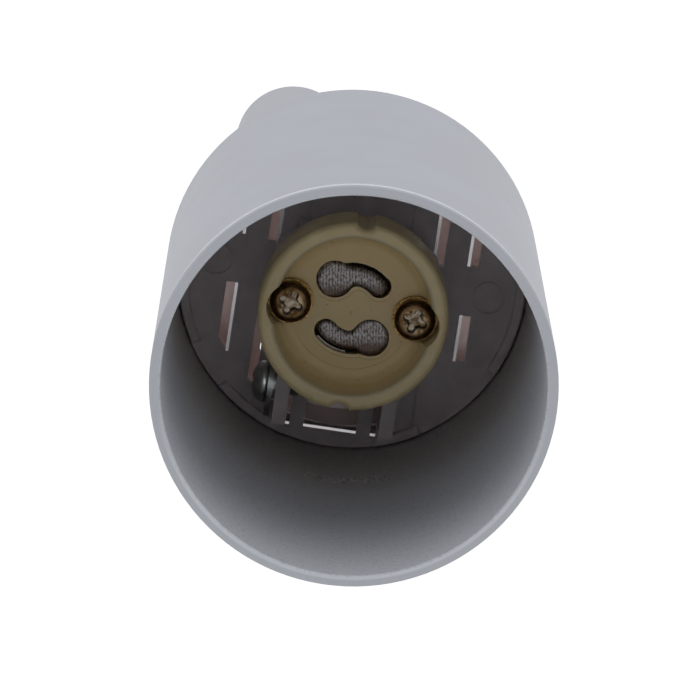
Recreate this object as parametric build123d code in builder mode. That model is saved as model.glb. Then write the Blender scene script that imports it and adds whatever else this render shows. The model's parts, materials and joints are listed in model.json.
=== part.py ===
from build123d import *
import os
from math import cos, hypot, radians, sin, sqrt, tan

os.makedirs("parts", exist_ok=True)

# A spotlight head: a round can, open at the front, with a twist-lock lamp holder inside.
# Units are millimetres. X is right, Y runs from the mouth to the back, and Z is up.
# The origin is the centre of the lamp socket's floor, on the can's axis.
# A depth is measured back from the can's mouth.

# Shade
shade_diameter = 55.0
shade_wall = 1.5
shade_length = 85.0
shade_lip_width = 2.4
shade_lip_thickness = 1.2
mouth_outer_round = 0.35
mouth_inner_round = 0.25
edge_match = 0.05

# Lamp holder, a ceramic body in a recess of which the lamp's cap sits
holder_depth = 50.0
holder_diameter = 27.3
holder_band = 9.5
holder_tail_step = 1.85
holder_tail_length = 4.5
holder_rim_outer_round = 0.8
holder_rim_inner_round = 0.6
holder_rim_width = 2.25
socket_depth = 6.5
socket_draft = 6.0
socket_floor_round = 1.6
floor_step_inset = 2.6
floor_step_depth = 0.15
side_groove_width = 3.3
side_groove_depth = 0.9
base_thickness = 4.0
base_edge_round = 0.5

# Pin slots: a round entry that runs into a narrow arc, where the pin locks
pin_circle_diameter = 10.0
pin_head_hole = 5.4
pin_neck_slot = 3.4
pin_entry_angle = 129.0
pin_lock_angle = 48.0
pin_slot_corner_round = 1.2
slot_border = 0.5
slot_border_depth = 0.15
floor_thickness = 3.0
chamber_margin = 0.8

# Contacts behind the pin slots
contact_clearance = 0.1
contact_set_back = 0.3
contact_nose_round = 0.6
contact_lock_narrowing = 0.6
contact_tab_width = 2.8
contact_tab_thickness = 0.8
contact_tab_stand_out = 3.0
spring_strip_thickness = 0.25
spring_strip_set_back = 1.6
spring_strip_length = 4.0

# Screws that hold the lamp holder
holder_screw_inset = 4.65
screw_diameter = 3.0
screw_head_diameter = 5.9
screw_head_height = 2.0
screw_head_round = 1.0
cross_recess_width = 3.8
cross_recess_blade = 1.3
cross_recess_depth = 1.1
cross_recess_core = 2.3
cross_recess_draft = 14.0
cross_recess_turn = 26.0
spring_washer_diameter = 6.5
spring_washer_thickness = 0.8
spring_washer_split = 0.7
spring_washer_split_turn = 25.0
screw_hole_clearance = 0.2
thread_clearance = 0.02
washer_pocket_clearance = 0.2

# Rear frame, one casting: vent plate, rim flange, cheeks and the bridge under the holder
insert_turn = 8.5
plate_thickness = 2.0
plate_fit = 0.3
flange_width = 1.5
flange_height = 0.9
flange_round = 0.35
flange_gaps = [(-58.2, -26.5), (-148.9, -132.0)]
bridge_thickness = 2.5
bridge_half_height = 8.0
bridge_end_margin = 3.0
bridge_opening_width = 11.0
bridge_opening_height = 12.4
cheek_thickness = 2.1
cheek_inner_half_gap = 6.85
cheek_step = 0.2
cheek_edge_margin = 4.5
cheek_foot_width = 2.8
cheek_foot_height = 0.6
cheek_foot_top = 12.0
window_half_width = 3.94
window_edge_margin = 2.8
window_height = 14.0
relief_slot_width = 0.8
relief_slot_height = 9.0
centre_land_half_width = 7.6
centre_land_bottom = 6.0
mark_width = 0.3
mark_depth = 0.4
vent_slot_width = 1.3
vent_columns = [12.45, 17.62]
vent_gap_above = [3.5, 4.1]
vent_gap_below = 3.3
vent_edge_margin = 2.4
vent_right_drop = 10.3
ledge_width = 0.45
vent_ledge_depth = 0.1
window_ledge_depth = 0.06
screw_post_edge_gap = 0.2
screw_post_diameter = 5.0
screw_post_length = 6.0

# Earth screw on the left cheek
earth_edge_gap = 5.1
earth_plate_gap = 6.3
earth_washer_diameter = 10.0
earth_washer_thickness = 0.8
lock_washer_diameter = 6.2
lock_washer_thickness = 0.45
lock_washer_teeth = 8
lock_washer_notch = 0.8
earth_head_diameter = 6.2
earth_head_height = 2.6
earth_head_round = 1.4
earth_screw_reach = 1.4

# Rear cap with its stem boss
cap_inset = 2.7
cap_wall = 1.8
cap_depth = 14.0
cap_corner_round = 1.1
cap_rib_spread = 9.0
cap_rib_thickness = 1.4
cap_rib_clearance = 0.8
cap_vent_angles = [22.0, 158.0, 202.0, 338.0]
cap_vent_width = 7.0
cap_vent_height = 8.4
cap_vent_edge = 2.2
cap_vent_keep_out = 31.0
cap_slot_width = 1.6
cap_slot_columns = [10.9, 15.0]
cap_slot_inner_gap = 4.6
cap_slot_edge_margin = 4.6
cap_post_diameter = 6.4
cap_screw_grip = 5.0
cap_screw_tip_gap = 0.3
cap_washer_diameter = 6.0
cap_washer_thickness = 0.6
boss_diameter = 17.2
boss_angle = 118.0
boss_inset = 0.05
boss_stand_out = 5.0
boss_front_gap = 0.1
boss_edge_round = 0.8
stem_thread_diameter = 10.0
stem_thread_length = 11.0
wire_passage_diameter = 6.6
bush_wall = 0.8
bush_flange_diameter = 7.6
bush_flange_thickness = 1.0
bush_clearance = 0.1
bush_edge_round = 0.3
lock_screw_diameter = 3.0
lock_screw_sink = 0.4
lock_screw_socket = 1.7
lock_screw_socket_depth = 1.4
lock_screw_depth_from_end = 2.5
lock_screw_gap = 0.1

# Radii and depths that follow from those sizes
shade_radius = shade_diameter / 2
shade_bore_radius = shade_radius - shade_wall
lip_front_depth = shade_length - shade_lip_thickness
plate_rear_depth = lip_front_depth
plate_front_depth = plate_rear_depth - plate_thickness
plate_radius = shade_bore_radius - plate_fit
flange_inner_radius = plate_radius - flange_width

holder_radius = holder_diameter / 2
socket_radius = holder_radius - holder_rim_width
socket_floor_radius = socket_radius - socket_depth * tan(radians(socket_draft))
floor_step_radius = socket_radius - floor_step_inset
floor_depth = holder_depth + socket_depth
band_end_depth = holder_depth + holder_band
tail_radius = holder_radius - holder_tail_step
tail_end_depth = band_end_depth + holder_tail_length
base_end_depth = tail_end_depth + base_thickness
bridge_front_depth = base_end_depth
bridge_rear_depth = bridge_front_depth + bridge_thickness

pin_circle_radius = pin_circle_diameter / 2
slot_floor_end_depth = floor_depth + floor_thickness
screw_radius = screw_diameter / 2
screw_x = holder_radius - holder_screw_inset
screw_hole_radius = screw_radius + screw_hole_clearance
screw_bore_radius = screw_radius + thread_clearance
cheek_outer = cheek_inner_half_gap + cheek_thickness
cheek_front_depth = bridge_rear_depth + cheek_step
cheek_drop = plate_radius - cheek_edge_margin
earth_drop = cheek_drop - earth_edge_gap
window_bottom = plate_radius - window_edge_margin
vent_limit_radius = flange_inner_radius - vent_edge_margin
earth_depth = plate_front_depth - earth_plate_gap

cap_radius = shade_radius - cap_inset
cap_inner_radius = cap_radius - cap_wall
cap_slot_limit_radius = cap_radius - cap_slot_edge_margin
screw_post_spread = cap_inner_radius - screw_post_edge_gap - screw_post_diameter / 2
cap_end_depth = shade_length + cap_depth
cap_floor_depth = cap_end_depth - cap_wall
post_end_depth = plate_rear_depth + screw_post_length
boss_radius = boss_diameter / 2
boss_offset = shade_radius - boss_inset - boss_radius
boss_end_depth = cap_end_depth + boss_stand_out


def front_plane(depth, turn=0.0, x=0.0, z=0.0):
    # A plane across the can, looking out of the mouth, with its sketch up as the insert's up
    spin = radians(turn)
    return Plane(
        origin=(x, depth - floor_depth, z),
        x_dir=(cos(spin), 0, -sin(spin)),
        z_dir=(0, -1, 0),
    )


def insert_plane(depth):
    # The same, turned with the holder and the rear frame
    return front_plane(depth, insert_turn)


def insert_side_plane(across):
    # A plane along the can, seen from its right, with the sketch's x as depth and y as insert up
    spin = radians(insert_turn)
    return Plane(
        origin=(across * cos(spin), -floor_depth, -across * sin(spin)),
        x_dir=(0, 1, 0),
        z_dir=(cos(spin), 0, -sin(spin)),
    )


# Shade tube, turned about the can's axis, with a lip at the back that the plate and the cap clamp
with BuildPart() as shade_tube:
    with BuildSketch(Plane.XY) as shade_section:
        with BuildLine():
            Polyline(
                (shade_bore_radius, -floor_depth),
                (shade_radius, -floor_depth),
                (shade_radius, shade_length - floor_depth),
                (shade_bore_radius - shade_lip_width, shade_length - floor_depth),
                (shade_bore_radius - shade_lip_width, lip_front_depth - floor_depth),
                (shade_bore_radius, lip_front_depth - floor_depth),
                close=True,
            )
        make_face()
        mouth_corners = shade_section.vertices().group_by(Axis.Y)[0].sort_by(Axis.X)
        fillet(mouth_corners[0], mouth_inner_round)
        fillet(mouth_corners[-1], mouth_outer_round)
    revolve(axis=Axis.Y)
shade_tube.part.label = "shade_tube"
export_step(shade_tube.part, "parts/shade_tube.step")


def kidney(turn, path_radius, lane, entry_radius):
    # A round entry with a narrow arc, with soft corners where the two meet
    entry_spin = radians(pin_entry_angle + turn)
    entry_x = pin_circle_radius * cos(entry_spin)
    entry_y = pin_circle_radius * sin(entry_spin)
    with BuildSketch(mode=Mode.PRIVATE) as outline:
        with BuildLine(mode=Mode.PRIVATE) as path:
            CenterArc(
                (0, 0), path_radius, pin_lock_angle + turn, pin_entry_angle - pin_lock_angle
            )
        SlotArc(path.edges()[0], lane)
        with Locations((entry_x, entry_y)):
            Circle(entry_radius)
        corners = outline.vertices().filter_by(
            lambda corner: abs(hypot(corner.X - entry_x, corner.Y - entry_y) - entry_radius) < edge_match
            and abs(abs(hypot(corner.X, corner.Y) - path_radius) - lane / 2) < edge_match
        )
        fillet(corners, pin_slot_corner_round)
    return outline.sketch


def pin_slot(turn, margin=0.0):
    # The outline of one pin slot, grown by margin
    return kidney(turn, pin_circle_radius, pin_neck_slot + 2 * margin, pin_head_hole / 2 + margin)


def contact_outline(turn):
    # The contact fills the slot, but is held off the lock end's outer side, where the spring lies
    return kidney(
        turn,
        pin_circle_radius - contact_lock_narrowing / 2,
        pin_neck_slot - 2 * contact_clearance - contact_lock_narrowing,
        pin_head_hole / 2 - contact_clearance,
    )


# Holder body, glazed ceramic: a round cup with pin slots, washer pockets and two side grooves
with BuildPart() as holder_body:
    with BuildSketch(insert_plane(band_end_depth)):
        Circle(holder_radius)
        groove_place = holder_radius + side_groove_width / 2 - side_groove_depth
        with PolarLocations(groove_place, 2, start_angle=90):
            Circle(side_groove_width / 2, mode=Mode.SUBTRACT)
    extrude(amount=holder_band)
    rim_edges = holder_body.faces().sort_by(Axis.Y)[0].edges()
    fillet(rim_edges, holder_rim_outer_round)
    with BuildSketch(insert_plane(band_end_depth)):
        Circle(tail_radius)
    extrude(amount=-holder_tail_length)
    with BuildSketch(insert_plane(holder_depth)):
        Circle(socket_radius)
    extrude(amount=-socket_depth, taper=socket_draft, mode=Mode.SUBTRACT)
    floor_edges = holder_body.edges().filter_by(GeomType.CIRCLE).filter_by(
        lambda edge: abs(edge.center().Y) < edge_match
        and abs(edge.radius - socket_floor_radius) < edge_match
    )
    fillet(floor_edges, socket_floor_round)
    inner_rim = holder_body.edges().filter_by(GeomType.CIRCLE).filter_by(
        lambda edge: abs(edge.radius - socket_radius) < edge_match
        and abs(edge.center().Y + socket_depth) < edge_match
    )
    fillet(inner_rim, holder_rim_inner_round)
    # Washer pockets, cut down to the floor through the rim's inner edge
    with BuildSketch(insert_plane(floor_depth)):
        with PolarLocations(screw_x, 2):
            Circle(spring_washer_diameter / 2 + washer_pocket_clearance)
    extrude(amount=socket_depth, mode=Mode.SUBTRACT)
    with BuildSketch(insert_plane(floor_depth)):
        Circle(floor_step_radius)
        with PolarLocations(screw_x, 2):
            Circle(spring_washer_diameter / 2 + washer_pocket_clearance, mode=Mode.SUBTRACT)
    extrude(amount=-floor_step_depth, mode=Mode.SUBTRACT)
    for turn in (0, 180):
        with BuildSketch(insert_plane(floor_depth)):
            add(pin_slot(turn, slot_border))
        extrude(amount=-(floor_step_depth + slot_border_depth), mode=Mode.SUBTRACT)
        with BuildSketch(insert_plane(floor_depth)):
            add(pin_slot(turn))
        extrude(amount=-floor_thickness, mode=Mode.SUBTRACT)
        with BuildSketch(insert_plane(slot_floor_end_depth)):
            add(pin_slot(turn, chamber_margin))
        extrude(amount=-(tail_end_depth - slot_floor_end_depth), mode=Mode.SUBTRACT)
    with BuildSketch(insert_plane(holder_depth)):
        with PolarLocations(screw_x, 2):
            Circle(screw_hole_radius)
    extrude(amount=-(tail_end_depth - holder_depth), mode=Mode.SUBTRACT)
holder_body.part.label = "holder_body"
export_step(holder_body.part, "parts/holder_body.step")


# Holder base, the ceramic cover that closes the contact chambers, with a slit for each contact tab
with BuildPart() as holder_base:
    with BuildSketch(insert_plane(base_end_depth)):
        Circle(tail_radius)
        with PolarLocations(screw_x, 2):
            Circle(screw_hole_radius, mode=Mode.SUBTRACT)
        with PolarLocations(pin_circle_radius, 2, start_angle=pin_entry_angle, rotate=True):
            Rectangle(
                contact_tab_thickness + 2 * contact_clearance,
                contact_tab_width + 2 * contact_clearance,
                mode=Mode.SUBTRACT,
            )
    extrude(amount=base_thickness)
    base_rear = holder_base.edges().filter_by(GeomType.CIRCLE).group_by(Axis.Y)[-1]
    chamfer(base_rear.filter_by(lambda edge: edge.radius > screw_x), base_edge_round)
holder_base.part.label = "holder_base"
export_step(holder_base.part, "parts/holder_base.step")


# Contacts: a nosed block in each pin slot, with a tab through the base for the wire
contact_front_depth = floor_depth + floor_step_depth + contact_set_back
contact_rear_depth = tail_end_depth
tab_end_depth = bridge_front_depth + contact_tab_stand_out
for name, turn in (("contact_upper", 0), ("contact_lower", 180)):
    with BuildPart() as contact:
        with BuildSketch(insert_plane(contact_front_depth)):
            add(contact_outline(turn))
        extrude(amount=-(contact_rear_depth - contact_front_depth))
        fillet(contact.faces().sort_by(Axis.Y)[0].edges(), contact_nose_round)
        with BuildSketch(insert_plane(contact_rear_depth)):
            with PolarLocations(
                pin_circle_radius, 1, start_angle=pin_entry_angle + turn, rotate=True
            ):
                Rectangle(contact_tab_thickness, contact_tab_width)
        extrude(amount=-(tab_end_depth - contact_rear_depth))
    contact.part.label = name
    export_step(contact.part, f"parts/{name}.step")


# Contact springs: a thin strip against the outer side of each narrow lobe
strip_outer_radius = pin_circle_radius + pin_neck_slot / 2
for name, turn in (("contact_spring_upper", 0), ("contact_spring_lower", 180)):
    with BuildPart() as contact_spring:
        with BuildSketch(insert_plane(floor_depth + spring_strip_set_back)):
            with BuildLine():
                strip_span = (pin_entry_angle - pin_lock_angle) / 2
                outer = CenterArc(
                    (0, 0), strip_outer_radius, pin_lock_angle + turn, strip_span
                )
                inner = CenterArc(
                    (0, 0),
                    strip_outer_radius - spring_strip_thickness,
                    pin_lock_angle + turn,
                    strip_span,
                )
                Line(outer @ 0, inner @ 0)
                Line(outer @ 1, inner @ 1)
            make_face()
        extrude(amount=-spring_strip_length)
    contact_spring.part.label = name
    export_step(contact_spring.part, f"parts/{name}.step")


def cross_recess():
    # The outline of the recess in a screw head: two crossed round-ended blades over a round core
    with BuildSketch(mode=Mode.PRIVATE) as outline:
        SlotOverall(cross_recess_width, cross_recess_blade)
        SlotOverall(cross_recess_width, cross_recess_blade, rotation=90)
        Circle(cross_recess_core / 2)
    return outline.sketch


# Holder screws, pan headed, on split spring washers
head_seat_depth = floor_depth - spring_washer_thickness
head_top_depth = head_seat_depth - screw_head_height
spin = radians(insert_turn)
for name, side, split_turn in (("left", -1, 180), ("right", 1, 0)):
    place_x = side * screw_x * cos(spin)
    place_z = -side * screw_x * sin(spin)
    with BuildPart() as holder_screw:
        with BuildSketch(front_plane(head_seat_depth, insert_turn, place_x, place_z)):
            Circle(screw_head_diameter / 2)
        extrude(amount=screw_head_height)
        fillet(holder_screw.faces().sort_by(Axis.Y)[0].edges(), screw_head_round)
        with BuildSketch(front_plane(head_top_depth, cross_recess_turn, place_x, place_z)):
            add(cross_recess())
        extrude(amount=-cross_recess_depth, taper=cross_recess_draft, mode=Mode.SUBTRACT)
        with BuildSketch(front_plane(head_seat_depth, insert_turn, place_x, place_z)):
            Circle(screw_radius)
        extrude(amount=-(bridge_rear_depth - head_seat_depth))
    holder_screw.part.label = f"holder_screw_{name}"
    export_step(holder_screw.part, f"parts/holder_screw_{name}.step")

    with BuildPart() as spring_washer:
        with BuildSketch(front_plane(floor_depth, insert_turn, place_x, place_z)):
            Circle(spring_washer_diameter / 2)
            Circle(screw_hole_radius, mode=Mode.SUBTRACT)
            with PolarLocations(
                spring_washer_diameter / 2, 1, start_angle=split_turn + spring_washer_split_turn
            ):
                Rectangle(spring_washer_diameter / 2, spring_washer_split, mode=Mode.SUBTRACT)
        extrude(amount=spring_washer_thickness)
    spring_washer.part.label = f"spring_washer_{name}"
    export_step(spring_washer.part, f"parts/spring_washer_{name}.step")


def vent_end(across, limit_radius):
    # How far up or down a column at this distance from the middle may run
    return sqrt(limit_radius**2 - across**2)


def vent_slot(side, column, start, left_edge_stop, right_edge_stop):
    # One vent slot with square end at start and an end that may slope to the limit circle
    inner = side * (column - vent_slot_width / 2)
    outer = side * (column + vent_slot_width / 2)
    with BuildSketch(mode=Mode.PRIVATE) as slot:
        with BuildLine(mode=Mode.PRIVATE) as line:
            Polyline(
                (inner, start),
                (outer, start),
                (outer, right_edge_stop),
                (inner, left_edge_stop),
                close=True,
            )
        make_face(line.edges())
    return slot.sketch


# Rear frame, cast in one piece
with BuildPart() as rear_frame:
    with BuildSketch(insert_plane(plate_rear_depth)):
        Circle(plate_radius)
    extrude(amount=plate_thickness)
    # Rim flange, in three stretches
    with BuildSketch(insert_plane(plate_front_depth)):
        Circle(plate_radius)
        Circle(flange_inner_radius, mode=Mode.SUBTRACT)
        for gap_start, gap_end in flange_gaps:
            with BuildLine():
                gap_reach = shade_radius + flange_width
                sweep_arc = CenterArc((0, 0), gap_reach, gap_start, gap_end - gap_start)
                Line((0, 0), sweep_arc @ 0)
                Line((0, 0), sweep_arc @ 1)
            make_face(mode=Mode.SUBTRACT)
    extrude(amount=flange_height)
    flange_tops = rear_frame.faces().filter_by(Axis.Y).group_by(Axis.Y)[0]
    fillet(flange_tops.edges(), flange_round)
    # Cheeks and the bridge that carries the holder
    with BuildSketch(insert_side_plane(0)):
        with BuildLine():
            Polyline(
                (bridge_front_depth, bridge_half_height),
                (bridge_front_depth, -bridge_half_height),
                (cheek_front_depth, -(bridge_half_height + bridge_thickness)),
                (cheek_front_depth, -cheek_drop),
                (plate_front_depth, -cheek_drop),
                (plate_front_depth, bridge_half_height),
                close=True,
            )
        make_face()
    extrude(amount=cheek_outer, both=True)
    with BuildSketch(insert_side_plane(0)):
        with Locations(((bridge_rear_depth + plate_front_depth) / 2, -cheek_drop / 2)):
            Rectangle(plate_front_depth - bridge_rear_depth, cheek_drop * 2)
    extrude(amount=cheek_inner_half_gap, both=True, mode=Mode.SUBTRACT)
    with BuildSketch(insert_plane(bridge_rear_depth)):
        bridge_half_width = screw_x + bridge_end_margin
        RectangleRounded(2 * bridge_half_width, 2 * bridge_half_height, bridge_end_margin)
    extrude(amount=bridge_thickness)
    with BuildSketch(insert_plane(bridge_rear_depth)):
        RectangleRounded(bridge_opening_width, bridge_opening_height, bridge_end_margin)
    extrude(amount=bridge_thickness, mode=Mode.SUBTRACT)
    with BuildSketch(insert_plane(bridge_front_depth)):
        with Locations((0, -(cheek_drop + bridge_half_height) / 2)):
            Rectangle(2 * cheek_inner_half_gap, cheek_drop - bridge_half_height)
    extrude(amount=-(plate_front_depth - bridge_front_depth), mode=Mode.SUBTRACT)
    # Foot pads beside the cheeks
    for side in (-1, 1):
        with BuildSketch(insert_plane(plate_front_depth)):
            with Locations(
                (
                    side * (cheek_outer + cheek_foot_width / 2),
                    -(cheek_foot_top + cheek_drop) / 2,
                )
            ):
                Rectangle(cheek_foot_width, cheek_drop - cheek_foot_top)
        extrude(amount=cheek_foot_height)
    # Wire window and the relief slots beside the cheeks
    with BuildSketch(insert_plane(plate_front_depth)):
        with Locations((0, -(window_bottom - window_height / 2))):
            Rectangle(2 * window_half_width, window_height)
        for side in (-1, 1):
            relief_across = side * (cheek_inner_half_gap - relief_slot_width / 2)
            with Locations((relief_across, -(window_bottom - relief_slot_height / 2))):
                Rectangle(relief_slot_width, relief_slot_height)
    extrude(amount=-plate_thickness, mode=Mode.SUBTRACT)
    # Vent slots: square at the middle, ending on a circle above and at the lower left
    for side in (-1, 1):
        for column, gap_above in zip(vent_columns, vent_gap_above):
            inner = column - vent_slot_width / 2
            outer = column + vent_slot_width / 2
            upper = [vent_end(inner, vent_limit_radius), vent_end(outer, vent_limit_radius)]
            lower = [-vent_right_drop, -vent_right_drop] if side > 0 else [-upper[0], -upper[1]]
            for start, stops in ((gap_above, upper), (-vent_gap_below, lower)):
                with BuildSketch(insert_plane(plate_front_depth)):
                    add(vent_slot(side, column, start, stops[0], stops[1]))
                extrude(amount=-plate_thickness, mode=Mode.SUBTRACT)
                # A shallow ledge along the side nearer the middle
                ledge_inner = side * (inner - ledge_width)
                with BuildSketch(insert_plane(plate_front_depth)):
                    with BuildLine():
                        Polyline(
                            (side * inner, start),
                            (ledge_inner, start),
                            (ledge_inner, stops[0]),
                            (side * inner, stops[0]),
                            close=True,
                        )
                    make_face()
                extrude(amount=-vent_ledge_depth, mode=Mode.SUBTRACT)
    # Shallow sloped ledges under the window and the relief slots
    relief_centre = cheek_inner_half_gap - relief_slot_width / 2
    for across, half_width in (
        (0, window_half_width),
        (-relief_centre, relief_slot_width / 2),
        (relief_centre, relief_slot_width / 2),
    ):
        with BuildSketch(insert_side_plane(across)):
            with BuildLine():
                Polyline(
                    (plate_front_depth, -window_bottom),
                    (plate_front_depth + window_ledge_depth, -window_bottom),
                    (plate_front_depth, -window_bottom - ledge_width),
                    close=True,
                )
            make_face()
        extrude(amount=half_width, both=True, mode=Mode.SUBTRACT)
    # Fine grooves in the front: two that mark off the land above the holder, and one by each foot
    land_top = vent_end(centre_land_half_width, flange_inner_radius)
    foot_edge = cheek_outer + cheek_foot_width + mark_width / 2
    for side in (-1, 1):
        for across, low, high in (
            (centre_land_half_width, centre_land_bottom, land_top),
            (foot_edge, -cheek_drop, -cheek_foot_top),
        ):
            with BuildSketch(insert_plane(plate_front_depth)):
                with Locations((side * across, (low + high) / 2)):
                    Rectangle(mark_width, high - low)
            extrude(amount=-mark_depth, mode=Mode.SUBTRACT)
    # Screw posts on the back, their round marks on the front, and the screw holes
    with BuildSketch(insert_plane(plate_rear_depth)):
        with PolarLocations(screw_post_spread, 2):
            Circle(screw_post_diameter / 2)
    extrude(amount=-screw_post_length)
    with BuildSketch(insert_plane(plate_front_depth)):
        with PolarLocations(screw_post_spread, 2):
            Circle(screw_post_diameter / 2)
            Circle(screw_post_diameter / 2 - mark_width, mode=Mode.SUBTRACT)
    extrude(amount=-mark_depth, mode=Mode.SUBTRACT)
    with BuildSketch(insert_plane(post_end_depth)):
        with PolarLocations(screw_post_spread, 2):
            Circle(screw_bore_radius)
    extrude(amount=cap_screw_grip, mode=Mode.SUBTRACT)
    with BuildSketch(insert_plane(bridge_rear_depth)):
        with PolarLocations(screw_x, 2):
            Circle(screw_bore_radius)
    extrude(amount=bridge_thickness, mode=Mode.SUBTRACT)
    # Tapped hole for the earth screw in the left cheek
    with BuildSketch(insert_side_plane(-cheek_inner_half_gap)):
        with Locations((earth_depth, -earth_drop)):
            Circle(screw_bore_radius)
    extrude(amount=-cheek_thickness, mode=Mode.SUBTRACT)
rear_frame.part.label = "rear_frame"
export_step(rear_frame.part, "parts/rear_frame.step")


# Earth screw, its wide washer and its toothed lock washer, stacked on the left cheek
lock_washer_face = -cheek_outer
washer_face = lock_washer_face - lock_washer_thickness
earth_head_face = washer_face - earth_washer_thickness
with BuildPart() as earth_lock_washer:
    with BuildSketch(insert_side_plane(lock_washer_face)):
        with Locations((earth_depth, -earth_drop)):
            Circle(lock_washer_diameter / 2)
            Circle(screw_hole_radius, mode=Mode.SUBTRACT)
            with PolarLocations(lock_washer_diameter / 2, lock_washer_teeth):
                Rectangle(lock_washer_notch, lock_washer_notch, mode=Mode.SUBTRACT)
    extrude(amount=-lock_washer_thickness)
earth_lock_washer.part.label = "earth_lock_washer"
export_step(earth_lock_washer.part, "parts/earth_lock_washer.step")

with BuildPart() as earth_washer:
    with BuildSketch(insert_side_plane(washer_face)):
        with Locations((earth_depth, -earth_drop)):
            Circle(earth_washer_diameter / 2)
            Circle(screw_hole_radius, mode=Mode.SUBTRACT)
    extrude(amount=-earth_washer_thickness)
earth_washer.part.label = "earth_washer"
export_step(earth_washer.part, "parts/earth_washer.step")

with BuildPart() as earth_screw:
    with BuildSketch(insert_side_plane(earth_head_face)):
        with Locations((earth_depth, -earth_drop)):
            Circle(earth_head_diameter / 2)
    extrude(amount=-earth_head_height)
    fillet(earth_screw.faces().sort_by(Axis.X)[0].edges(), earth_head_round)
    with BuildSketch(insert_side_plane(earth_head_face - earth_head_height)):
        with Locations((earth_depth, -earth_drop)):
            add(cross_recess())
    extrude(amount=cross_recess_depth, taper=cross_recess_draft, mode=Mode.SUBTRACT)
    with BuildSketch(insert_side_plane(earth_head_face)):
        with Locations((earth_depth, -earth_drop)):
            Circle(screw_radius)
    shank_length = earth_washer_thickness + lock_washer_thickness + cheek_thickness
    extrude(amount=shank_length + earth_screw_reach)
earth_screw.part.label = "earth_screw"
export_step(earth_screw.part, "parts/earth_screw.step")


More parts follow.
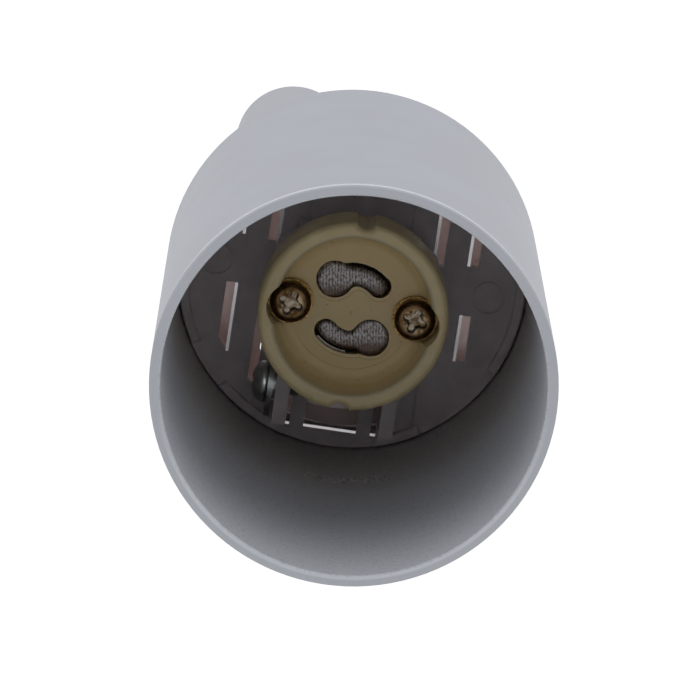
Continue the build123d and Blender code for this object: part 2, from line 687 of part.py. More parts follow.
# Rear cap: a dished cover with vents, two ribs that keep the wires in the middle, and the stem boss
boss_spin = radians(boss_angle)
boss_x = boss_offset * cos(boss_spin)
boss_z = boss_offset * sin(boss_spin)
boss_plane_depth = shade_length + boss_front_gap
thread_start_depth = boss_end_depth - stem_thread_length
core_front_depth = thread_start_depth - cap_wall
lock_spin = radians(boss_angle + 90)
lock_depth = boss_end_depth - lock_screw_depth_from_end
lock_plane = Plane(
    origin=(
        boss_x + boss_radius * cos(lock_spin),
        lock_depth - floor_depth,
        boss_z + boss_radius * sin(lock_spin),
    ),
    x_dir=(0, 1, 0),
    z_dir=(cos(lock_spin), 0, sin(lock_spin)),
)
with BuildPart() as rear_cap:
    with BuildSketch(insert_plane(cap_end_depth)):
        Circle(cap_radius)
    extrude(amount=cap_depth)
    with BuildSketch(front_plane(boss_end_depth, 0, boss_x, boss_z)):
        Circle(boss_radius)
    extrude(amount=boss_end_depth - boss_plane_depth)
    cap_rear_edges = rear_cap.edges().filter_by(
        lambda edge: abs(edge.center().Y - (cap_end_depth - floor_depth)) < cap_wall / 4
        and edge.geom_type == GeomType.CIRCLE
        and abs(edge.radius - cap_radius) < cap_wall / 4
    )
    fillet(cap_rear_edges, cap_corner_round)
    boss_rear_edges = rear_cap.faces().sort_by(Axis.Y)[-1].edges()
    fillet(boss_rear_edges, boss_edge_round)
    # Hollow, kept whole round the boss
    with BuildSketch(insert_plane(cap_floor_depth)):
        Circle(cap_inner_radius)
    extrude(amount=cap_depth - cap_wall, mode=Mode.SUBTRACT)
    with BuildSketch(front_plane(cap_floor_depth, 0, boss_x, boss_z)):
        Circle(boss_radius)
    extrude(amount=cap_floor_depth - core_front_depth)
    # Ribs beside the wire channel
    with BuildSketch(insert_plane(cap_floor_depth)):
        Circle(cap_radius - cap_wall / 2)
        rib_gap = 2 * cap_rib_spread - cap_rib_thickness
        Rectangle(rib_gap, 2 * cap_radius, mode=Mode.SUBTRACT)
        for side in (-1, 1):
            side_room = cap_radius - cap_rib_spread
            rib_side = side * (cap_rib_spread + cap_rib_thickness / 2 + side_room / 2)
            with Locations((rib_side, 0)):
                Rectangle(side_room, 2 * cap_radius, mode=Mode.SUBTRACT)
    extrude(amount=cap_floor_depth - shade_length - cap_rib_clearance)
    # Posts for the cap screws
    with BuildSketch(insert_plane(cap_floor_depth)):
        with PolarLocations(screw_post_spread, 2):
            Circle(cap_post_diameter / 2)
        Circle(cap_radius - cap_wall / 2, mode=Mode.INTERSECT)
    extrude(amount=cap_floor_depth - post_end_depth)
    with BuildSketch(insert_plane(cap_end_depth)):
        with PolarLocations(screw_post_spread, 2):
            Circle(screw_hole_radius)
    extrude(amount=cap_end_depth - post_end_depth, mode=Mode.SUBTRACT)
    # Stem thread, and the wire passage through to a clear pocket in the rib
    with BuildSketch(front_plane(boss_end_depth, 0, boss_x, boss_z)):
        Circle(stem_thread_diameter / 2)
    extrude(amount=stem_thread_length, mode=Mode.SUBTRACT)
    with BuildSketch(front_plane(thread_start_depth, 0, boss_x, boss_z)):
        Circle(wire_passage_diameter / 2)
    extrude(amount=cap_wall, mode=Mode.SUBTRACT)
    with BuildSketch(front_plane(core_front_depth)):
        with Locations((boss_x, boss_z)):
            Circle(boss_radius)
        Circle(cap_inner_radius, mode=Mode.INTERSECT)
    extrude(amount=core_front_depth - shade_length, mode=Mode.SUBTRACT)
    # Tapped hole for the lock screw, from the boss's side into the thread
    with BuildSketch(lock_plane):
        Circle(lock_screw_diameter / 2 + thread_clearance)
    extrude(amount=-(boss_diameter - stem_thread_diameter) / 2, mode=Mode.SUBTRACT)
    # Vent slots in the back wall, between the frame's slots, and none where the boss stands
    for side, half in ((-1, -1), (1, -1), (1, 1)):
        for column in cap_slot_columns:
            slot_reach = vent_end(column + cap_slot_width / 2, cap_slot_limit_radius)
            slot_length = slot_reach - cap_slot_inner_gap
            with BuildSketch(insert_plane(cap_end_depth)):
                with Locations((side * column, half * (cap_slot_inner_gap + slot_length / 2))):
                    SlotOverall(slot_length, cap_slot_width, rotation=90)
            extrude(amount=cap_wall, mode=Mode.SUBTRACT)
    # Windows round the side wall, clear of the posts, the wire channel and the boss
    for angle in cap_vent_angles:
        off_boss = abs((angle - boss_angle - insert_turn + 180) % 360 - 180)
        if off_boss > cap_vent_keep_out:
            with BuildSketch(insert_plane(shade_length + cap_vent_edge)):
                with PolarLocations(cap_radius - cap_wall / 2, 1, start_angle=angle):
                    Rectangle(2 * cap_wall, cap_vent_width)
            extrude(amount=-cap_vent_height, mode=Mode.SUBTRACT)
rear_cap.part.label = "rear_cap"
export_step(rear_cap.part, "parts/rear_cap.step")


# Cap screws from behind, on plain washers, down into the frame's posts
cap_head_depth = cap_end_depth + cap_washer_thickness
for name, side in (("left", -1), ("right", 1)):
    place_x = side * screw_post_spread * cos(spin)
    place_z = -side * screw_post_spread * sin(spin)
    with BuildPart() as cap_washer:
        with BuildSketch(front_plane(cap_end_depth, 0, place_x, place_z)):
            Circle(cap_washer_diameter / 2)
            Circle(screw_hole_radius, mode=Mode.SUBTRACT)
        extrude(amount=-cap_washer_thickness)
    cap_washer.part.label = f"cap_washer_{name}"
    export_step(cap_washer.part, f"parts/cap_washer_{name}.step")

    with BuildPart() as cap_screw:
        with BuildSketch(front_plane(cap_head_depth, 0, place_x, place_z)):
            Circle(screw_head_diameter / 2)
        extrude(amount=-screw_head_height)
        fillet(cap_screw.faces().sort_by(Axis.Y)[-1].edges(), screw_head_round)
        with BuildSketch(
            front_plane(cap_head_depth + screw_head_height, side * cross_recess_turn, place_x, place_z)
        ):
            add(cross_recess())
        extrude(amount=cross_recess_depth, taper=cross_recess_draft, mode=Mode.SUBTRACT)
        with BuildSketch(front_plane(cap_head_depth, 0, place_x, place_z)):
            Circle(screw_radius)
        extrude(amount=cap_head_depth - post_end_depth + cap_screw_grip - cap_screw_tip_gap)
    cap_screw.part.label = f"cap_screw_{name}"
    export_step(cap_screw.part, f"parts/cap_screw_{name}.step")


# Wire bush, a flanged plastic sleeve in the wire passage
with BuildPart() as wire_bush:
    with BuildSketch(front_plane(core_front_depth, 0, boss_x, boss_z)):
        Circle(bush_flange_diameter / 2)
    extrude(amount=bush_flange_thickness)
    with BuildSketch(front_plane(core_front_depth, 0, boss_x, boss_z)):
        Circle(wire_passage_diameter / 2 - bush_clearance)
    extrude(amount=-cap_wall)
    with BuildSketch(front_plane(thread_start_depth, 0, boss_x, boss_z)):
        Circle(wire_passage_diameter / 2 - bush_clearance - bush_wall)
    extrude(amount=cap_wall + bush_flange_thickness, mode=Mode.SUBTRACT)
    fillet(wire_bush.edges().filter_by(GeomType.CIRCLE).sort_by(Axis.Y)[:2], bush_edge_round)
wire_bush.part.label = "wire_bush"
export_step(wire_bush.part, "parts/wire_bush.step")


# Lock screw for the stem, a headless screw with a hexagon socket, just short of the thread
with BuildPart() as stem_lock_screw:
    with BuildSketch(lock_plane.offset(-lock_screw_sink)):
        Circle(lock_screw_diameter / 2)
        RegularPolygon(lock_screw_socket / 2, 6, mode=Mode.SUBTRACT)
    extrude(amount=-lock_screw_socket_depth)
    with BuildSketch(lock_plane.offset(-lock_screw_sink - lock_screw_socket_depth)):
        Circle(lock_screw_diameter / 2)
    boss_ring = (boss_diameter - stem_thread_diameter) / 2
    extrude(amount=-(boss_ring - lock_screw_sink - lock_screw_socket_depth - lock_screw_gap))
stem_lock_screw.part.label = "stem_lock_screw"
export_step(stem_lock_screw.part, "parts/stem_lock_screw.step")
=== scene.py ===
import bpy
import json
from math import asin, cos, pi, radians, sin, sqrt
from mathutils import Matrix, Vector


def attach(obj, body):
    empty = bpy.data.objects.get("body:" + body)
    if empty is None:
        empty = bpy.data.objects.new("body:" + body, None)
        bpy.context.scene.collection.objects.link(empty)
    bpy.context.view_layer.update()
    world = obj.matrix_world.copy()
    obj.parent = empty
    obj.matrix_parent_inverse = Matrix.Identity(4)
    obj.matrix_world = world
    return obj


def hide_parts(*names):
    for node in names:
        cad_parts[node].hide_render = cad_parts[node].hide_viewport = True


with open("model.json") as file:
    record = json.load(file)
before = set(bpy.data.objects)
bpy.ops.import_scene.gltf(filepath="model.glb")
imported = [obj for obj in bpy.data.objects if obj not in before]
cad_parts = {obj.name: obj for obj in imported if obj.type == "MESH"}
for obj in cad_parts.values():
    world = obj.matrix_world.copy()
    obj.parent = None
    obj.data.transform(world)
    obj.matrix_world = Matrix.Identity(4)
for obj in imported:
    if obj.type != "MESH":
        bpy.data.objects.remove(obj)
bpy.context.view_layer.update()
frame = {"nodes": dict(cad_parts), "record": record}
nodes = frame["nodes"]

millimetre = 0.001
crispEdge = 0.001     # millimetres over which a mask with a sharp edge rises


def mm(*values):
    # millimetres to the frame's metres
    return Vector(values) * millimetre if len(values) > 1 else values[0] * millimetre


def toLinear(hexColour):
    # an sRGB hex colour as the linear values that shaders take
    channels = [int(hexColour[i:i + 2], 16) / 255 for i in (1, 3, 5)]
    linear = [c / 12.92 if c <= 0.04045 else ((c + 0.055) / 1.055) ** 2.4 for c in channels]
    return (*linear, 1.0)


def patternScale(sizeInMm):
    # a texture's scale for features of this size
    return 1 / (sizeInMm * millimetre)


def addNode(tree, kind, inputs=None, stops=None, **settings):
    # one node with its settings; an input is a value, or a socket to link from
    node = tree.nodes.new(kind)
    for name, value in settings.items():
        setattr(node, name, value)
    for name, value in (inputs or {}).items():
        if isinstance(value, bpy.types.NodeSocket):
            tree.links.new(value, node.inputs[name])
        else:
            node.inputs[name].default_value = value
    if stops:    # a ramp's places and hex colours
        elements = node.color_ramp.elements
        while len(elements) < len(stops):
            elements.new(1.0)
        for element, (place, colour) in zip(elements, stops):
            element.position, element.color = place, toLinear(colour)
    return node


def newMaterial(name):
    # an empty node material, with its object coordinates whole and split; Y is the depth along the can
    material = bpy.data.materials.new(name)
    material.use_nodes = True
    tree = material.node_tree
    tree.nodes.clear()
    coords = addNode(tree, "ShaderNodeTexCoord").outputs["Object"]
    axes = addNode(tree, "ShaderNodeSeparateXYZ", {0: coords}).outputs
    return material, tree, coords, axes


def maskOver(tree, *zones):
    # a mask from lengths: each rises from 0 to 1 between two places in millimetres, and they multiply
    mask = 1.0
    for length, start, end in zones:
        mask = addNode(tree, "ShaderNodeMapRange", {
            "Value": length, "From Min": mm(start), "From Max": mm(end), "To Max": mask}).outputs[0]
    return mask


def radiusAbout(tree, coords, x, z):
    # distance from a line along the can through this x and z, in metres
    offset = addNode(tree, "ShaderNodeVectorMath", {0: coords, 1: mm(x, 0, z)}, operation="SUBTRACT")
    across = addNode(tree, "ShaderNodeVectorMath", {0: offset.outputs[0], 1: (1, 0, 1)},
                     operation="MULTIPLY")
    return addNode(tree, "ShaderNodeVectorMath", {0: across.outputs[0]},
                   operation="LENGTH").outputs["Value"]


# Camera, at the photograph's viewing angle
cameraSettings = {
    "lens": 306.1,
    "sensor": 36.0,
    "elevation": 11.07,
    "azimuth": -0.12,
    "distance": 854.9,
    "target": (-0.396, 0.0, -6.0),
    "clipNear": 10.0,
    "clipFar": 20000.0,
}


def placeCamera(settings):
    camera = bpy.data.cameras.new("camera")
    camera.lens = settings["lens"]
    camera.sensor_width = settings["sensor"]
    camera.clip_start = mm(settings["clipNear"])
    camera.clip_end = mm(settings["clipFar"])
    holder = bpy.data.objects.new("camera", camera)
    bpy.context.collection.objects.link(holder)
    up = radians(settings["elevation"])
    sideways = radians(settings["azimuth"])
    outward = Vector((sin(sideways) * cos(up), -cos(sideways) * cos(up), sin(up)))
    holder.location = mm(*settings["target"]) + outward * mm(settings["distance"])
    holder.rotation_euler = (-outward).to_track_quat("-Z", "Y").to_euler()
    bpy.context.scene.camera = holder


placeCamera(cameraSettings)
print("camera placed")


# Floor, world and lamps
stageSettings = {
    "floorDrop": 130.0,
    "floorSize": 9000.0,
    "floorColour": "#E6E6E6",
    "floorGlow": 0.6,
    "worldColour": "#FFFFFF",
    "worldStrength": 0.62,
    "dimStrength": 0.06,
    "dimDirection": (0.0, -0.906, 0.423),
    "dimSpread": (0.79, 0.93),
    "keySize": 700.0,
    "keyPower": 1.3,
    "keyPlace": (120.0, -320.0, 900.0),
    "sideSize": 600.0,
    "sidePower": 0.2,
    "sidePlace": (-800.0, -300.0, 450.0),
}


def makeFloor(settings):
    half = mm(settings["floorSize"]) / 2
    level = -mm(settings["floorDrop"])
    corners = [(-half, -half, level), (half, -half, level), (half, half, level), (-half, half, level)]
    mesh = bpy.data.meshes.new("floor")
    mesh.from_pydata(corners, [], [(0, 1, 2, 3)])
    floor = bpy.data.objects.new("floor", mesh)
    bpy.context.collection.objects.link(floor)
    material, tree, coords, axes = newMaterial("matt white paper sweep")
    paper = addNode(tree, "ShaderNodeBsdfDiffuse", {"Color": toLinear(settings["floorColour"])})
    # the glow is for the camera and for reflections alone, and lights nothing
    rays = addNode(tree, "ShaderNodeLightPath").outputs
    seen = addNode(tree, "ShaderNodeMath", {0: rays["Is Camera Ray"], 1: rays["Is Glossy Ray"]},
                   operation="MAXIMUM").outputs[0]
    strength = addNode(tree, "ShaderNodeMath", {0: seen, 1: settings["floorGlow"]},
                       operation="MULTIPLY").outputs[0]
    glow = addNode(tree, "ShaderNodeEmission", {"Strength": strength})
    lit = addNode(tree, "ShaderNodeAddShader", {0: paper.outputs[0], 1: glow.outputs[0]})
    addNode(tree, "ShaderNodeOutputMaterial", {"Surface": lit.outputs[0]})
    mesh.materials.append(material)


def makeWorld(settings):
    world = bpy.data.worlds.new("studio")
    bpy.context.scene.world = world
    world.use_nodes = True
    tree = world.node_tree
    background = tree.nodes["Background"]
    rays = addNode(tree, "ShaderNodeLightPath").outputs
    seen = addNode(tree, "ShaderNodeMath", {0: rays["Is Camera Ray"], 1: rays["Is Glossy Ray"]},
                   operation="MAXIMUM").outputs[0]
    # the room is dimmer ahead of the can's mouth
    towards = addNode(tree, "ShaderNodeTexCoord").outputs["Generated"]
    nearness = addNode(tree, "ShaderNodeVectorMath", {0: towards, 1: settings["dimDirection"]},
                       operation="DOT_PRODUCT").outputs["Value"]
    dimStart, dimEnd = settings["dimSpread"]
    room = addNode(tree, "ShaderNodeMapRange", {
        "Value": nearness, "From Min": dimStart, "From Max": dimEnd,
        "To Min": settings["worldStrength"], "To Max": settings["dimStrength"]}).outputs[0]
    strength = addNode(tree, "ShaderNodeMapRange", {"Value": seen, "To Min": room, "To Max": 1.0})
    tree.links.new(strength.outputs[0], background.inputs["Strength"])
    background.inputs["Color"].default_value = toLinear(settings["worldColour"])


def makeLamp(name, size, power, place):
    lamp = bpy.data.lights.new(name, "AREA")
    lamp.shape = "DISK"
    lamp.size = mm(size)
    lamp.energy = power
    holder = bpy.data.objects.new(name, lamp)
    bpy.context.collection.objects.link(holder)
    holder.location = mm(*place)
    holder.rotation_euler = (-holder.location).to_track_quat("-Z", "Y").to_euler()


makeFloor(stageSettings)
makeWorld(stageSettings)
makeLamp("soft box above", stageSettings["keySize"], stageSettings["keyPower"],
         stageSettings["keyPlace"])
makeLamp("soft box at the left", stageSettings["sideSize"], stageSettings["sidePower"],
         stageSettings["sidePlace"])
bpy.context.scene.view_settings.view_transform = "Standard"
print("floor, world and lamps made")


# Powder coated aluminium: sprayed and baked, a satin skin with a fine orange peel.
# Each pair of depths, radii or heights is where a mask goes from 0 to 1, in millimetres.
powderCoat = {
    "colour": "#B0B4C0",
    "shade": "#ADB1BC",
    "mottleMm": 14.0,
    # the rim's face, painted paler than the coat as painted light
    "rimPaintedLightColour": "#D0D5DD",
    "rimDepths": (-56.1, -56.4),
    "edgeHighlightColour": "#EBEFF7",
    # painted highlights on the rim's rounded edges
    "edgeDepths": (-55.4, -55.9),
    "innerEdgeRadii": (26.75, 26.4),
    "innerEdgeHeights": (-3.0, -14.0),
    "outerEdgeRadii": (27.1, 27.45),
    "outerEdgeHeights": (8.0, 20.0),
    "wallRadii": (26.4, 26.05),
    # the inside wall, painted paler than the outer coat as painted light; warmer at the rear as painted
    # reflection
    "wallColourWithPaintedLight": "#D9DDE5",
    "deepReflectedLightColour": "#E8E4E2",
    "deepDepths": (-25.0, 15.0),
    "dustColour": "#8F8C88",
    "dustMm": 0.42,       # real dust is finer, but would not show
    "dustLevels": (0.56, 0.7),
    "dustShare": 0.35,
    "scuffColour": "#FFFFFF",
    "scuffShade": "#C9C6C3",
    "scuffMm": 0.55,
    "scuffFront": 1.5,
    "scuffRear": 5.5,
    "scuffLeft": -7.0,
    "scuffRight": 5.5,
    "peelMm": 0.7,
    "peelHeightMm": 0.01,
    "roughness": 0.42,
}


def makePowderCoat(settings):
    material, tree, coords, axes = newMaterial("satin powder coated aluminium")
    radius = radiusAbout(tree, coords, 0, 0)
    mottle = addNode(tree, "ShaderNodeTexNoise", {
        "Vector": coords, "Scale": patternScale(settings["mottleMm"]), "Detail": 2.0})
    skin = addNode(tree, "ShaderNodeValToRGB", {"Fac": mottle.outputs["Fac"]}, stops=[
        (0.4, settings["shade"]), (0.6, settings["colour"])]).outputs["Color"]
    # painted light: the rim's face is painted paler than the same coat outside
    rim = maskOver(tree, (axes["Y"], *settings["rimDepths"]))
    skin = addNode(tree, "ShaderNodeMix", {
        "Factor": rim, "A": skin, "B": toLinear(settings["rimPaintedLightColour"])},
        data_type="RGBA").outputs["Result"]
    # painted highlights: the rim's inner edge is painted paler below, and its outer edge above, where
    # the rounded edges catch the light
    below = maskOver(tree, (axes["Y"], *settings["edgeDepths"]),
                     (axes["Z"], *settings["innerEdgeHeights"]), (radius, *settings["innerEdgeRadii"]))
    above = maskOver(tree, (axes["Y"], *settings["edgeDepths"]),
                     (axes["Z"], *settings["outerEdgeHeights"]), (radius, *settings["outerEdgeRadii"]))
    edge = addNode(tree, "ShaderNodeMath", {0: below, 1: above}, operation="MAXIMUM").outputs[0]
    skin = addNode(tree, "ShaderNodeMix", {
        "Factor": edge, "A": skin, "B": toLinear(settings["edgeHighlightColour"])},
        data_type="RGBA").outputs["Result"]

    # painted light: the wall inside is painted paler than the coat outside, and towards the rear warmer,
    # a painted reflection of the cream lamp holder
    deep = maskOver(tree, (axes["Y"], *settings["deepDepths"]))
    wall = addNode(tree, "ShaderNodeMix", {
        "Factor": deep, "A": toLinear(settings["wallColourWithPaintedLight"]), "B": toLinear(settings["deepReflectedLightColour"])},
        data_type="RGBA").outputs["Result"]
    dust = addNode(tree, "ShaderNodeTexNoise", {
        "Vector": coords, "Scale": patternScale(settings["dustMm"]), "Detail": 1.0})
    dustStart, dustEnd = settings["dustLevels"]
    dusty = addNode(tree, "ShaderNodeMapRange", {
        "Value": dust.outputs["Fac"], "From Min": dustStart, "From Max": dustEnd,
        "To Max": settings["dustShare"]}).outputs[0]
    wall = addNode(tree, "ShaderNodeMix", {
        "Factor": dusty, "A": wall, "B": toLinear(settings["dustColour"])},
        data_type="RGBA").outputs["Result"]
    # a faint scuff where lamps have rubbed the bottom of the wall
    patch = maskOver(tree, (axes["Y"], settings["scuffFront"] - crispEdge, settings["scuffFront"]),
                     (axes["Y"], settings["scuffRear"] + crispEdge, settings["scuffRear"]),
                     (axes["X"], settings["scuffLeft"] - crispEdge, settings["scuffLeft"]),
                     (axes["X"], settings["scuffRight"] + crispEdge, settings["scuffRight"]),
                     (axes["Z"], crispEdge, 0))
    rub = addNode(tree, "ShaderNodeTexNoise", {
        "Vector": coords, "Scale": patternScale(settings["scuffMm"]), "Detail": 3.0})
    rubbed = addNode(tree, "ShaderNodeValToRGB", {"Fac": rub.outputs["Fac"]}, stops=[
        (0.44, settings["scuffShade"]), (0.56, settings["scuffColour"])]).outputs["Color"]
    wall = addNode(tree, "ShaderNodeMix", {"Factor": patch, "A": wall, "B": rubbed},
                   data_type="RGBA").outputs["Result"]

    inside = maskOver(tree, (radius, *settings["wallRadii"]))
    colour = addNode(tree, "ShaderNodeMix", {"Factor": inside, "A": skin, "B": wall},
                     data_type="RGBA").outputs["Result"]
    peel = addNode(tree, "ShaderNodeTexNoise", {
        "Vector": coords, "Scale": patternScale(settings["peelMm"]), "Detail": 2.0})
    bump = addNode(tree, "ShaderNodeBump", {
        "Height": peel.outputs["Fac"], "Distance": mm(settings["peelHeightMm"])})
    coat = addNode(tree, "ShaderNodeBsdfPrincipled", {
        "Base Color": colour, "Normal": bump.outputs[0], "Roughness": settings["roughness"]})
    addNode(tree, "ShaderNodeOutputMaterial", {"Surface": coat.outputs[0]})
    return material


# The rear cap: the same coat outside, and inside the bare casting, satin and a little pink
capCoat = {
    "colour": "#B3B6C0",
    "innerColour": "#FFF0EC",
    "innerShade": "#F6E5E0",
    "innerMetal": 0.85,
    "innerRoughness": 0.42,
    "innerRadius": 23.2,
    "innerDepth": 40.7,
    # painted shade in the wire channel
    "channelShadeColour": "#D2C6C5",
    "channelSide": 7.0,
    "channelTop": -8.0,
    "castMm": 1.6,
    "peelMm": 0.7,
    "peelHeightMm": 0.012,
    "roughness": 0.45,
}


def makeCapCoat(settings):
    material, tree, coords, axes = newMaterial("powder coated die cast cap")
    cloud = addNode(tree, "ShaderNodeTexNoise", {
        "Vector": coords, "Scale": patternScale(settings["castMm"]), "Detail": 3.0})
    bare = addNode(tree, "ShaderNodeValToRGB", {"Fac": cloud.outputs["Fac"]}, stops=[
        (0.35, settings["innerShade"]), (0.65, settings["innerColour"])]).outputs["Color"]
    # painted shade: the casting is painted darker in the wire channel
    channel = maskOver(tree, (axes["X"], -settings["channelSide"] - crispEdge, -settings["channelSide"]),
                       (axes["X"], settings["channelSide"] + crispEdge, settings["channelSide"]),
                       (axes["Z"], settings["channelTop"] + crispEdge, settings["channelTop"]))
    bare = addNode(tree, "ShaderNodeMix", {
        "Factor": channel, "A": bare, "B": toLinear(settings["channelShadeColour"])},
        data_type="RGBA").outputs["Result"]
    radius = radiusAbout(tree, coords, 0, 0)
    inside = maskOver(tree, (radius, settings["innerRadius"] + crispEdge, settings["innerRadius"]),
                      (axes["Y"], settings["innerDepth"] + crispEdge, settings["innerDepth"]))
    colour = addNode(tree, "ShaderNodeMix", {
        "Factor": inside, "A": toLinear(settings["colour"]), "B": bare},
        data_type="RGBA").outputs["Result"]
    metal = addNode(tree, "ShaderNodeMath", {0: inside, 1: settings["innerMetal"]},
                    operation="MULTIPLY").outputs[0]
    roughness = addNode(tree, "ShaderNodeMapRange", {
        "Value": inside, "To Min": settings["roughness"], "To Max": settings["innerRoughness"]})
    peel = addNode(tree, "ShaderNodeTexNoise", {
        "Vector": coords, "Scale": patternScale(settings["peelMm"]), "Detail": 2.0})
    bump = addNode(tree, "ShaderNodeBump", {
        "Height": peel.outputs["Fac"], "Distance": mm(settings["peelHeightMm"])})
    coat = addNode(tree, "ShaderNodeBsdfPrincipled", {
        "Base Color": colour, "Normal": bump.outputs[0], "Metallic": metal,
        "Roughness": roughness.outputs[0]})
    addNode(tree, "ShaderNodeOutputMaterial", {"Surface": coat.outputs[0]})
    return material


# Painted die casting: pinkish grey with faint blotches, and bare bright metal on the milled ledges
castFrame = {
    "colour": "#E6DDDF",
    "shade": "#D6CDD0",
    "blotchMm": 5.0,
    "grainMm": 0.35,
    "grainHeightMm": 0.015,
    "roughness": 0.5,
    "ledgeNear": 25.31,
    "ledgeFar": 25.45,
    "ledgeColour": "#C9C6C9",
    "ledgeRoughness": 0.25,
}


def makeCastFrame(settings):
    material, tree, coords, axes = newMaterial("painted aluminium die casting")
    blotches = addNode(tree, "ShaderNodeTexNoise", {
        "Vector": coords, "Scale": patternScale(settings["blotchMm"]), "Detail": 4.0})
    paint = addNode(tree, "ShaderNodeValToRGB", {"Fac": blotches.outputs["Fac"]}, stops=[
        (0.35, settings["shade"]), (0.65, settings["colour"])]).outputs["Color"]
    bare = maskOver(tree, (axes["Y"], settings["ledgeNear"] - crispEdge, settings["ledgeNear"]),
                    (axes["Y"], settings["ledgeFar"] + crispEdge, settings["ledgeFar"]))
    colour = addNode(tree, "ShaderNodeMix", {
        "Factor": bare, "A": paint, "B": toLinear(settings["ledgeColour"])},
        data_type="RGBA").outputs["Result"]
    roughness = addNode(tree, "ShaderNodeMapRange", {
        "Value": bare, "To Min": settings["roughness"], "To Max": settings["ledgeRoughness"]})
    grain = addNode(tree, "ShaderNodeTexNoise", {
        "Vector": coords, "Scale": patternScale(settings["grainMm"]), "Detail": 3.0})
    bump = addNode(tree, "ShaderNodeBump", {
        "Height": grain.outputs["Fac"], "Distance": mm(settings["grainHeightMm"])})
    cast = addNode(tree, "ShaderNodeBsdfPrincipled", {
        "Base Color": colour, "Normal": bump.outputs[0], "Metallic": bare,
        "Roughness": roughness.outputs[0]})
    addNode(tree, "ShaderNodeOutputMaterial", {"Surface": cast.outputs[0]})
    return material


# Steatite, the cream lamp ceramic: pressed and fired, with a matt skin and a few darker specks.
# The recess's wall is painted paler, as painted light against the shade in its concave corner; the tones
# run from the rim to the floor.
steatite = {
    "colour": "#E0CD9B",
    "shade": "#D5C08D",
    "mottleMm": 4.0,
    "recessDepths": (-6.5, 0.0),
    "recessRadius": 11.9,
    # the paler tones of the recess's wall are painted light
    "recessTonesWithPaintedLight": [(0.0, "#D0C19A"), (0.12, "#DCC794"), (0.5, "#EAD29C"), (0.86, "#F3DDA6"),
                    (0.975, "#E9CF97"), (0.995, "#DDC48E")],
    "speckColour": "#A8925F",
    "speckMm": 0.5,
    "speckLevels": (0.69, 0.76),
    "grainHeightMm": 0.01,
    "roughness": 0.38,
}


def makeSteatite(settings):
    material, tree, coords, axes = newMaterial("pressed steatite ceramic")
    mottle = addNode(tree, "ShaderNodeTexNoise", {
        "Vector": coords, "Scale": patternScale(settings["mottleMm"]), "Detail": 3.0})
    rim = addNode(tree, "ShaderNodeValToRGB", {"Fac": mottle.outputs["Fac"]}, stops=[
        (0.35, settings["shade"]), (0.65, settings["colour"])]).outputs["Color"]
    down = maskOver(tree, (axes["Y"], *settings["recessDepths"]))
    tones = addNode(tree, "ShaderNodeValToRGB", {"Fac": down},
                    stops=settings["recessTonesWithPaintedLight"]).outputs["Color"]
    radius = radiusAbout(tree, coords, 0, 0)
    within = maskOver(tree, (radius, settings["recessRadius"] + crispEdge, settings["recessRadius"]))
    body = addNode(tree, "ShaderNodeMix", {"Factor": within, "A": rim, "B": tones},
                   data_type="RGBA").outputs["Result"]
    specks = addNode(tree, "ShaderNodeTexNoise", {
        "Vector": coords, "Scale": patternScale(settings["speckMm"]), "Detail": 2.0})
    speckStart, speckEnd = settings["speckLevels"]
    speckled = addNode(tree, "ShaderNodeMapRange", {
        "Value": specks.outputs["Fac"], "From Min": speckStart, "From Max": speckEnd}).outputs[0]
    colour = addNode(tree, "ShaderNodeMix", {
        "Factor": speckled, "A": body, "B": toLinear(settings["speckColour"])},
        data_type="RGBA").outputs["Result"]
    bump = addNode(tree, "ShaderNodeBump", {
        "Height": specks.outputs["Fac"], "Distance": mm(settings["grainHeightMm"])})
    ceramic = addNode(tree, "ShaderNodeBsdfPrincipled", {
        "Base Color": colour, "Normal": bump.outputs[0], "Roughness": settings["roughness"]})
    addNode(tree, "ShaderNodeOutputMaterial", {"Surface": ceramic.outputs[0]})
    return material


# Yellow passivated steel screws: bronze brown heads on golden spring washers, and the driver's
# recess worn back to bright zinc
passivated = {
    "colour": "#5C4830",
    "shade": "#3A2914",
    "cloudMm": 0.8,
    "sideDepths": (-2.5, -2.0),
    "washerColour": "#A4834C",
    "washerShade": "#4A3519",
    "washerMm": 0.25,
    "washerFront": -0.82,
    "washerRear": 0.5,
    "recessColour": "#837B6E",
    "recessShade": "#4C3E2C",
    "recessRadius": 1.92,
    "recessTop": -2.77,
    # the recess's top edge: worn to bright zinc, with a painted highlight on it
    "edgeHighlightColour": "#D2CEC6",
    "edgeDepths": (-2.7, -2.25),
    "wornColour": "#94876F",
    "wornRadii": (1.95, 1.35),
    "wornLevels": (0.4, 0.58),
    "screwPlaces": [(-8.9, 1.33), (8.9, -1.33)],
    "roughness": 0.33,
}


